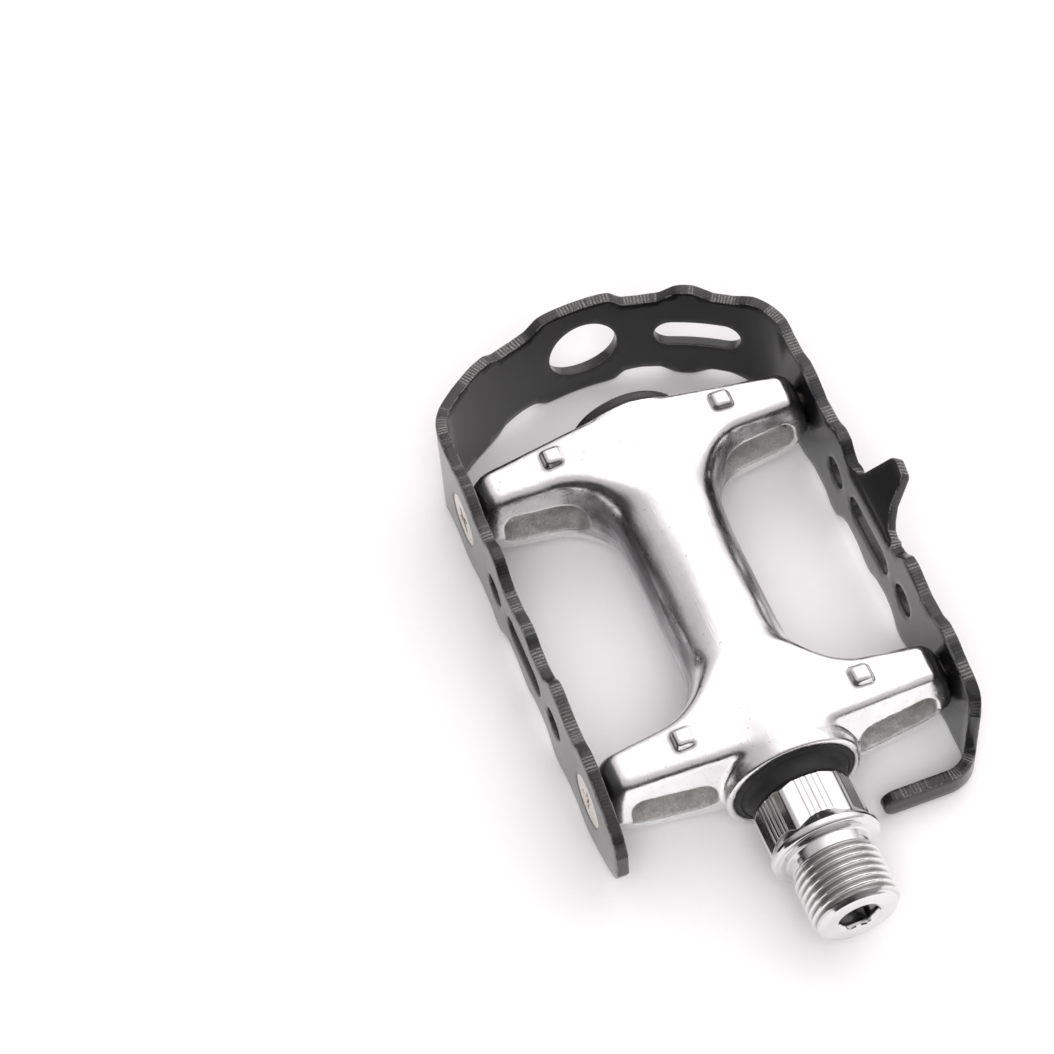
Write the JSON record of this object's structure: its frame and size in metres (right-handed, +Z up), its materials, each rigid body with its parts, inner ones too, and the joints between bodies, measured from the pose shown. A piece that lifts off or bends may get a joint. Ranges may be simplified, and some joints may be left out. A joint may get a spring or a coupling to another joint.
{
  "type": "bicycle pedal",
  "caption": "Cage pedal: cast body on a threaded spindle with ball bearings, wrapped by a toothed sheet cage with hook and tab.",
  "frame": {"origin": "on the spindle axis, at the face of the flange that seats on the crank", "axes": "+Y along the spindle away from the crank, +Z up through one pedalling face, +X towards the plate that carries the hook and the tab"},
  "size_m": [0.0674, 0.1174, 0.0251],
  "materials": {
    "cast_body": "polished die casting",
    "cage_sheet": "semi-gloss black paint",
    "chromed_steel": "bright chrome plate",
    "seal_rubber": "matt",
    "race_steel": "ground",
    "plated_steel": "zinc plated",
    "cap_plastic": "fine matt",
    "screw_steel": "nickel plated",
    "ball_steel": "polished"
  },
  "bodies": {
    "spindle": {"spindle": "chromed_steel", "outboard_cone": "race_steel", "lock_washer": "plated_steel", "lock_nut": "plated_steel"},
    "pedal": {"body": "cast_body", "cage": "cage_sheet", "seal": "seal_rubber", "inboard_cup": "race_steel", "outboard_cup": "race_steel", "dust_cap": "cap_plastic", "left_inboard_screw": "screw_steel", "left_outboard_screw": "screw_steel", "right_inboard_screw": "screw_steel", "right_outboard_screw": "screw_steel"},
    "inboard_row": {"inboard_ball_1": "ball_steel", "inboard_ball_2": "ball_steel", "inboard_ball_3": "ball_steel", "inboard_ball_4": "ball_steel", "inboard_ball_5": "ball_steel", "inboard_ball_6": "ball_steel", "inboard_ball_7": "ball_steel", "inboard_ball_8": "ball_steel", "inboard_ball_9": "ball_steel", "inboard_ball_10": "ball_steel", "inboard_ball_11": "ball_steel", "inboard_ball_12": "ball_steel"},
    "outboard_row": {"outboard_ball_1": "ball_steel", "outboard_ball_2": "ball_steel", "outboard_ball_3": "ball_steel", "outboard_ball_4": "ball_steel", "outboard_ball_5": "ball_steel", "outboard_ball_6": "ball_steel", "outboard_ball_7": "ball_steel", "outboard_ball_8": "ball_steel", "outboard_ball_9": "ball_steel", "outboard_ball_10": "ball_steel", "outboard_ball_11": "ball_steel"}
  },
  "joints": [
    {"name": "pedal_spin", "type": "hinge", "parent": "spindle", "child": "pedal", "pos_m": [0, 0, 0], "axis": [0, 1, 0], "continuous": true},
    {"name": "inboard_row_orbit", "type": "hinge", "parent": "spindle", "child": "inboard_row", "pos_m": [0, 0.0185, 0], "axis": [0, 1, 0], "continuous": true},
    {"name": "outboard_row_orbit", "type": "hinge", "parent": "spindle", "child": "outboard_row", "pos_m": [0, 0.076, 0], "axis": [0, 1, 0], "continuous": true}
  ],
  "couplings": [
    {"joint": "inboard_row_orbit", "follows": "pedal_spin", "ratio": 0.584},
    {"joint": "outboard_row_orbit", "follows": "pedal_spin", "ratio": 0.592}
  ]
}
